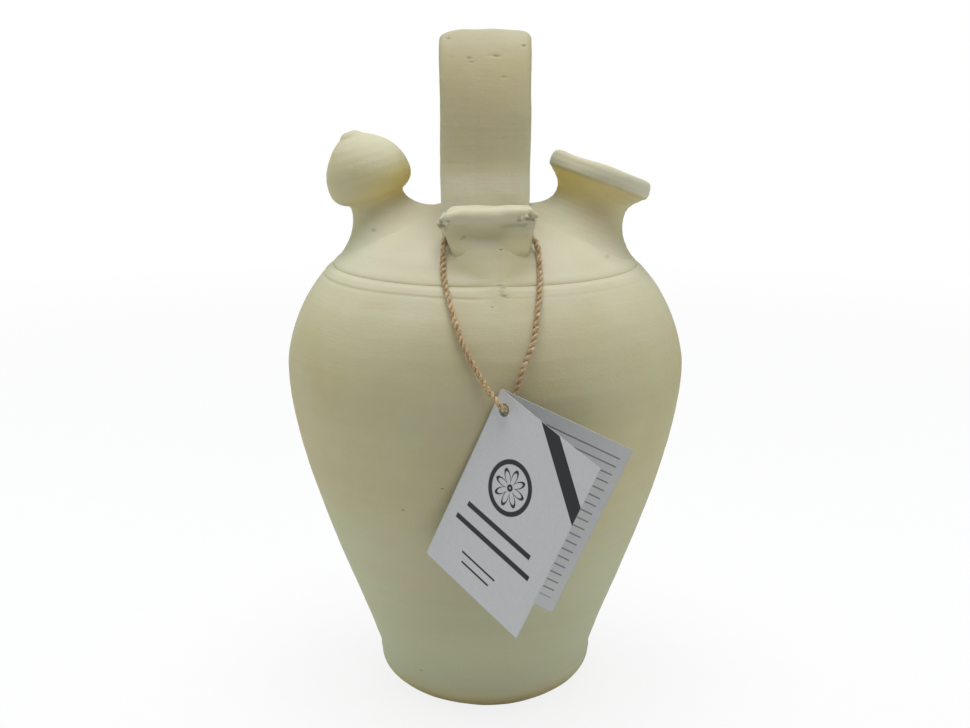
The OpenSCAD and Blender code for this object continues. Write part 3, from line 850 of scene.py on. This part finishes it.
def make_lug(material):
    parts = [bracket(), roll(LIP), tongue()]
    for x, y, z, r in CRUMBS:
        t = np.linspace(-1, 1, 9)
        ball = revolved(np.stack([np.sqrt(1 - t * t * 0.96) * r, t * r], axis=1), 12)
        parts.append(skinned(ball + [x, y, z]))
    lug = mesh_piece("lug_skin", *gathered(parts), material, "clay")
    remeshed(lug, 0.55, 240)

    def amount(p):
        x, y, z = p.T
        torn = bump(x, -19.5, 4.0) * bump(z, 245.5, 4.5) + bump(x, 20.5, 4.0) * bump(z, 247.5, 4.5)
        crease = -0.9 * bump(z, 244.9 + 0.05 * x, 0.9) * smoothstep(2, 9, x) * (1 - smoothstep(17, 21, x))
        own = smoothstep(231, 239, z)
        like_dome = 0.8 * clay_wear(p) + 0.6 * throwing(p)
        return (own * (clay_wear(p) * 1.3 + 0.25 * grain(p, 5.5, 23)) + (1 - own) * like_dome
                + torn * (1.0 * grain(p, 2.6, 21) + 0.7 * grain(p, 1.3, 22)) + crease * (y < -58))

    push(lug, amount)
    points, faces = skinned(revolved(TUNNEL, 48))
    points = np.stack([points[:, 2], points[:, 0] + TUNNEL_Y, points[:, 1] + TUNNEL_Z], axis=1)
    cut(lug, mesh_piece("tunnel", points, faces, material, "clay"))
    return lug


def paint_clay(obj):
    """The ochre tint the fire left on the clay; painted shade on the handle's front, the belly, the foot,
    the pits and the torn corners; painted light on tops, the mouth's rim, the lug's lip and, from the
    floor, the lower body.
    """
    p = points_of(obj)
    x, y, z = p.T
    low = 1 - smoothstep(7, 14 + 4 * grain(p * [1, 1, 0], 30, 31), z)
    ochre = 0.5 * low
    mouth = unturned(p - MOUTH, MOUTH_LEAN, MOUTH_BACK)
    under = smoothstep(-22, -9, mouth[:, 2]) * (1 - smoothstep(-6.4, -4.6, mouth[:, 2]))
    near = 1 - smoothstep(28, 36, np.hypot(mouth[:, 0], mouth[:, 1]))
    ochre = np.maximum(ochre, near * under * (0.35 - 0.018 * mouth[:, 0]))
    spout = unturned(p - SPOUT, SPOUT_LEAN)
    near = 1 - smoothstep(22, 30, np.hypot(spout[:, 0], spout[:, 1]))
    under = smoothstep(-21, -12, spout[:, 2]) * (1 - smoothstep(-9, 3, spout[:, 2]))
    ochre = np.maximum(ochre, near * under * (0.30 + 0.022 * spout[:, 0]))
    paint(obj, "ochre", ochre)
    # Painted shade on the handle's upper front, deeper towards its left
    strap = smoothstep(258, 290, z) * (np.abs(x) < 24) * (1 - smoothstep(-12, 16, y))
    painted_shade = strap * (0.44 + 0.08 * (1 - smoothstep(-16, 20, x + 5 * grain(p, 20, 32))))
    # Painted shade on the body below the shoulder, deepest down the front middle
    belly_shade = (0.07 + 0.24 * bump(x, -2, 42) * (y < 0)) * (1 - smoothstep(185, 212, z))
    belly_shade *= smoothstep(30, 60, z)
    # Painted shade in the crevices of the lug's torn corners
    torn = bump(x, -20, 3.0) * bump(z, 245.5, 3.5) + bump(x, 20.5, 3.5) * bump(z, 247, 4)
    torn *= np.clip(grain(p, 2.0, 34) + 0.25, 0, 1) * (y < -54)
    # Painted shade on the foot's lowest band, the same band that has the ochre tint
    paint(obj, "painted_shade", np.maximum(np.maximum(painted_shade, belly_shade), 0.55 * low) + torn)
    # Painted shade in the pits, darker the deeper they are
    paint(obj, "painted_pit_shade", 0.8 * pitted(p))
    # Painted light from the floor: a pale greenish tint from just above the foot, fading out between
    # about 60 and 150 mm
    paint(obj, "cool", 0.8 * (1 - smoothstep(60, 150, z + 14 * grain(p, 45, 36))) * smoothstep(10, 22, z))
    # Painted light: the more a surface faces up the lighter it is painted, less so on the handle's strap
    up = normals_of(obj)[:, 2]
    painted_light = smoothstep(0.18, 0.85, up + 0.12 * grain(p, 16, 35))
    painted_light += (smoothstep(0.60, 0.97, up) - painted_light) * smoothstep(0, 0.5, strap)
    # Painted light on the band round the mouth's rim
    rim = smoothstep(20, 23, np.hypot(mouth[:, 0], mouth[:, 1])) * smoothstep(-5.2, -3.5, mouth[:, 2])
    rim *= 1 - smoothstep(28, 32, np.hypot(mouth[:, 0], mouth[:, 1]))
    # Painted light on the lug's lip
    lip = smoothstep(238, 248, z) * (1 - smoothstep(262, 274, z)) * (y < -38) * (np.abs(x) < 24) * 0.7
    paint(obj, "painted_light", np.maximum(painted_light, np.maximum(rim, lip)))


# Twine: middle line of the loop, from the middle of the lug's hole round to the other side
TWINE = [
    [-0.5, -54, 239.3], [-6, -54, 239.3], [-11.5, -54, 239.3], [-15, -54.4, 239.1],
    [-17.2, -55.8, 237.8], [-18.5, -58.8, 234.6], [-18.8, -62.8, 229.8], [-18.6, -69, 224.2],
    [-17.4, -74.3, 219.8], [-16.2, -79.2, 215], [-14.4, -84, 210], [-12.6, -88.4, 204.6],
    [-10, -92.8, 198], [-6.8, -96, 192], [-4, -98, 187.3], [-1.7, -100, 183.4],
    [0.6, -102.6, 180.2], [3, -105.4, 177.7], [5.2, -108, 175.6], [7, -108.4, 173.3],
    [8.4, -105.8, 172], [9.3, -103.9, 171.8], [10.2, -102, 171.7], [11.5, -99.8, 172.5],
    [12.8, -98.8, 175.3], [13.8, -98.6, 178.6], [14.8, -98.3, 182.4], [16, -97.6, 187],
    [18.6, -95.2, 192.4], [20.8, -91.9, 197.6], [22.2, -87.5, 204.1], [23, -82.8, 209.9],
    [23.7, -78, 214.8], [24.2, -73.1, 219.4], [24.4, -67.6, 224.2], [24.3, -62.4, 229],
    [23.8, -58.6, 233.6], [22.6, -56, 236.9], [20.4, -54.5, 238.8], [17, -54, 239.3],
    [11, -54, 239.3], [0.5, -54, 239.3]]
# Length of one turn of the two plies, number of loose fibres and their radius
PITCH, FIBRES, FIBRE_R = 6.6, 420, 0.05


def carried_frames(line):
    """A direction and two sides at each point, turned as little as possible."""
    way = np.gradient(line, axis=0)
    way /= np.linalg.norm(way, axis=1)[:, None]
    side = np.zeros_like(way)
    s = np.array([0.0, 0, 1])
    for i, d in enumerate(way):
        s = s - (s @ d) * d
        s /= np.linalg.norm(s)
        side[i] = s
    return way, side, np.cross(way, side)


def make_twine(material):
    line = smooth_line(TWINE, 0.32)
    run = np.concatenate([[0], np.cumsum(np.linalg.norm(np.diff(line, axis=0), axis=1))])
    way, side, other = carried_frames(line)
    n, parts = 14, []
    for ply in (0, 1):
        turn = 2 * np.pi * (run / PITCH) + ply * np.pi
        off = 0.66 * (1 + 0.10 * grain(line + ply * 50, 3.0, 41))
        middle = line + off[:, None] * (np.cos(turn)[:, None] * side + np.sin(turn)[:, None] * other)
        w, s, o = carried_frames(middle)
        lumps = 0.09 * grain(line + ply * 90, 1.8, 42) + 0.05 * grain(line + ply * 70, 0.9, 43)
        thick = 0.76 * (1 + lumps)
        yarn = 2 * np.pi * run / 3.1
        a = np.linspace(0, 2 * np.pi, n, endpoint=False)
        ring = a[None, :] + yarn[:, None]
        ridge = 1 + 0.10 * np.cos(5 * a)[None, :]
        rings = (middle[:, None, :] + (thick[:, None] * ridge * np.cos(ring))[..., None] * s[:, None, :]
                 + (thick[:, None] * ridge * np.sin(ring))[..., None] * o[:, None, :])
        parts.append(skinned(rings))
    chooser = random.Random(11)
    for _ in range(FIBRES):
        i = chooser.randrange(6, len(line) - 6)
        angle = chooser.uniform(0, 2 * math.pi)
        out = math.cos(angle) * side[i] + math.sin(angle) * other[i]
        start = line[i] + 1.15 * out
        along = way[i] * chooser.choice((-1, 1))
        reach, rise = chooser.uniform(1.2, 3.4), chooser.uniform(0.25, 1.1)
        curl = chooser.uniform(-0.8, 0.8)
        path = [start + along * reach * t + out * rise * t * t + np.cross(out, along) * curl * t * t
                for t in (0, 0.35, 0.7, 1.0)]
        parts.append(hair(path, FIBRE_R))
    return mesh_piece("twine_strands", *gathered(parts), material, "jute")


def hair(path, r):
    """A thin three-sided fibre that tapers along its path."""
    path = np.asarray(path)
    way, side, other = carried_frames(path)
    a = np.array([0, 2 * np.pi / 3, 4 * np.pi / 3])
    size = np.linspace(1, 0.35, len(path)) * r
    rings = [p + (s * np.cos(a)[:, None] + o * np.sin(a)[:, None]) * k
             for p, s, o, k in zip(path, side, other, size)]
    return skinned(rings)


# Card tag
# Top of the fold, the leaves' size, how far each leaf is turned about the fold in degrees, and how
# the hanging card leans and swings
FOLD_TOP = (7.6, -102.0, 179.6)
LEAF_W, LEAF_L = 61.5, 86.0
BACK_TURN, FRONT_TURN = 8, 43
CARD_LEAN, CARD_SWING = 7.4, 23


def card_turn(turn):
    """The turn that takes a leaf from its own axes to its place."""
    lean = Matrix.Rotation(math.radians(CARD_LEAN), 3, "X")
    swing = Matrix.Rotation(math.radians(CARD_SWING), 3, "Y")
    return swing @ lean @ Matrix.Rotation(math.radians(-turn), 3, "Z")


def card_material(name, turn, draw):
    """White card; draw(n, u, v, w) gives how dark the print is at u across, v down and w out."""
    n = Nodes(name)
    local = n.tree.nodes.new("ShaderNodeMapping")
    local.vector_type = "TEXTURE"
    n.put(local, "Vector", n.place())
    local.inputs["Location"].default_value = [c * MM for c in FOLD_TOP]
    local.inputs["Rotation"].default_value = card_turn(turn).to_euler("XYZ")
    local.inputs["Scale"].default_value = (MM, MM, MM)
    split = n.tree.nodes.new("ShaderNodeSeparateXYZ")
    n.tree.links.new(local.outputs[0], split.inputs[0])
    u, w, v = split.outputs
    v = n.math("MULTIPLY", v, -1)
    fibre = n.noise(local.outputs[0], 1.1, 4, 0.6)
    color = n.mix(n.span(fibre, 0.3, 0.7), linear(0.755, 0.753, 0.755), linear(0.785, 0.783, 0.783))
    edge = n.math("MINIMUM", n.math("MINIMUM", u, v),
                  n.math("MINIMUM", n.math("SUBTRACT", LEAF_W, u), n.math("SUBTRACT", LEAF_L, v)))
    color = n.mix(n.span(edge, 0.0, 0.5, 0.35, 0), color, linear(0.66, 0.65, 0.63))
    ink = draw(n, u, v, w)
    color = n.mix(ink, color, linear(0.13, 0.13, 0.14))
    normal = n.relief(fibre, 0.12, 0.00008)
    rough = n.span(ink, 0.0, 1.0, 0.62, 0.42)
    return n.finish(color, rough, normal, Specular_IOR_Level=0.35)


def inside(n, value, low, high, soft=0.12):
    """1 where the value lies between low and high."""
    up = n.span(value, low - soft, low + soft)
    down = n.span(value, high - soft, high + soft, 1, 0)
    return n.math("MULTIPLY", up, down)


def away(n, u, v, at):
    """Distance and angle from a place on the card."""
    du, dv = n.math("SUBTRACT", u, at[0]), n.math("SUBTRACT", v, at[1])
    far = n.math("SQRT", n.math("ADD", n.math("MULTIPLY", du, du), n.math("MULTIPLY", dv, dv)))
    return far, n.math("ARCTAN2", dv, du)


# Middle of the rosette, and rules: place down the card, left end, right end, thickness
ROSETTE = (25.6, 33.5)
RULES = [(52.5, 9, 50, 2.4), (60.5, 6, 54, 2.4), (72.5, 17, 39, 0.9), (76.5, 19, 37, 0.9)]


def draw_front(n, u, v, w):
    """Plain black band over the outer corner, a rosette, and plain rules."""
    outer = n.span(w, -0.45, -0.55)
    slant = n.math("ADD", u, n.math("MULTIPLY", v, -1.28))
    band = inside(n, slant, 25.6, 37.0)
    far, angle = away(n, u, v, ROSETTE)
    petal = n.math("ABSOLUTE", n.math("COSINE", n.math("MULTIPLY", angle, 4)))
    rosette = inside(n, n.math("SUBTRACT", far, n.math("MULTIPLY", petal, 5.6)), 1.7, 3.2)
    mark = rosette
    for r, width in ((11.2, 2.2), (1.0, 1.2)):
        mark = n.math("MAXIMUM", mark, inside(n, far, r - width / 2, r + width / 2))
    for at_v, low, high, thick in RULES:
        down = inside(n, v, at_v - thick / 2, at_v + thick / 2)
        rule = n.math("MULTIPLY", down, inside(n, u, low, high))
        mark = n.math("MAXIMUM", mark, rule)
    return n.math("MULTIPLY", outer, n.math("MAXIMUM", band, mark))


def make_crease(material):
    """The card's folded edge, which joins the two leaves."""
    turn = card_turn((BACK_TURN + FRONT_TURN) / 2)
    a = np.linspace(math.radians(70), math.radians(290), 15)
    profile = np.vstack([0.6 * np.stack([np.cos(a), np.sin(a)], axis=1),
                         0.25 * np.stack([np.cos(a[::-1]), np.sin(a[::-1])], axis=1)])
    down = np.linspace(0.1, LEAF_L - 0.1, 30)
    rings = [np.column_stack([profile, np.full(len(profile), -v)]) for v in down]
    points, faces = skinned(rings)
    points = points @ np.array(turn).T + FOLD_TOP
    return mesh_piece("card_crease", points, faces, material, "card")


def draw_back(n, u, v, w):
    """Plain thin rules on the inner face."""
    inner = n.span(w, 0.35, 0.25)
    step = n.math("FRACT", n.math("DIVIDE", v, 4.1))
    lines = inside(n, step, 0.42, 0.58, 0.04)
    within = n.math("MULTIPLY", inside(n, u, 4, 58), inside(n, v, 3, 80))
    return n.math("MULTIPLY", n.math("MULTIPLY", inner, 0.7), n.math("MULTIPLY", lines, within))


# Light and stage, in metres and watts
def area_light(name, at, aim, size, power, color=(1, 1, 1)):
    data = bpy.data.lights.new(name, "AREA")
    data.shape = "SQUARE"
    data.size = size
    data.energy = power
    data.color = color
    lamp = link(bpy.data.objects.new(name, data))
    lamp.location = at
    lamp.rotation_euler = (Vector(aim) - Vector(at)).to_track_quat("-Z", "Y").to_euler()


def from_axis(n):
    """How far a point of the floor is from the jug's axis, in metres."""
    node = n.tree.nodes.new("ShaderNodeVectorMath")
    node.operation = "LENGTH"
    n.tree.links.new(n.place(), node.inputs[0])
    return node.outputs["Value"]


def shown_white(n, part):
    """Mix of the lit surface and plain white, for what only the camera and reflections see."""
    tree = n.tree
    path = tree.nodes.new("ShaderNodeLightPath")
    seen = n.math("MAXIMUM", path.outputs["Is Camera Ray"],
                  n.math("MAXIMUM", path.outputs["Is Glossy Ray"], path.outputs["Is Transmission Ray"]))
    glow = tree.nodes.new("ShaderNodeEmission")
    glow.inputs["Color"].default_value = (1, 1, 1, 1)
    mixer = tree.nodes.new("ShaderNodeMixShader")
    tree.links.new(n.math("MULTIPLY", seen, part), mixer.inputs[0])
    tree.links.new(n.shader.outputs[0], mixer.inputs[1])
    tree.links.new(glow.outputs[0], mixer.inputs[2])
    tree.links.new(mixer.outputs[0], n.out.inputs["Surface"])


def make_stage():
    n = Nodes("floor")
    dust = n.noise(n.place(), 60, 3, 0.5)
    color = n.mix(n.span(dust, 0.3, 0.7), (0.90, 0.90, 0.90), (0.93, 0.93, 0.93))
    n.finish(color, 0.9)
    shown_white(n, n.span(from_axis(n), 0.35, 1.4, 0.84, 1.0))
    size = 6.0
    corners = [(-size, -size, 0), (size, -size, 0), (size, size, 0), (-size, size, 0)]
    data = bpy.data.meshes.new("floor")
    data.from_pydata(corners, [], [(0, 1, 2, 3)])
    floor = link(bpy.data.objects.new("floor", data))
    floor.data.materials.append(n.material)

    world = bpy.data.worlds.new("world")
    bpy.context.scene.world = world
    world.use_nodes = True
    tree = world.node_tree
    tree.nodes.clear()
    out = tree.nodes.new("ShaderNodeOutputWorld")
    lit, white = tree.nodes.new("ShaderNodeBackground"), tree.nodes.new("ShaderNodeBackground")
    lit.inputs["Color"].default_value = (0.95, 0.98, 1.0, 1)
    lit.inputs["Strength"].default_value = 0.26
    white.inputs["Color"].default_value = (1, 1, 1, 1)
    mixer = tree.nodes.new("ShaderNodeMixShader")
    path = tree.nodes.new("ShaderNodeLightPath")
    tree.links.new(path.outputs["Is Camera Ray"], mixer.inputs[0])
    tree.links.new(lit.outputs[0], mixer.inputs[1])
    tree.links.new(white.outputs[0], mixer.inputs[2])
    tree.links.new(mixer.outputs[0], out.inputs["Surface"])

    area_light("top", (0.0, -0.05, 1.45), (0, 0, 0.2), 1.0, 15.5)
    area_light("front", (0.55, -1.10, 0.75), (0, 0, 0.16), 0.5, 1.25)
    cool = (0.84, 1.0, 1.04)
    area_light("left", (-1.2, 0.30, 0.45), (0, 0, 0.16), 0.9, 4.1, cool)
    area_light("right", (1.2, 0.30, 0.45), (0, 0, 0.16), 0.9, 3.2, cool)
    bpy.context.scene.view_settings.view_transform = "Standard"


# The whole
def main():
    make_camera()
    clay, jute = clay_material(), jute_material()

    twine = make_twine(jute)
    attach(twine, "twine")
    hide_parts("twine_loop")

    clay_pieces = {"lower_body": make_body, "shoulder_dome": make_dome, "filling_mouth": make_mouth,
                   "drinking_spout": make_spout, "strap_handle": make_handle, "front_lug": make_lug}
    for name, make in clay_pieces.items():
        piece = make(clay)
        paint_clay(piece)
        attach(piece, "jug")
        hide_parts(name)

    for node, turn, draw in (("tag_back_leaf", BACK_TURN, draw_back),
                             ("tag_front_leaf", FRONT_TURN, draw_front)):
        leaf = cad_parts[node]
        leaf.data.materials.clear()
        leaf.data.materials.append(card_material("card_" + node, turn, draw))
    crease = make_crease(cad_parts["tag_back_leaf"].data.materials[0])
    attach(crease, "tag")
    make_stage()


main()
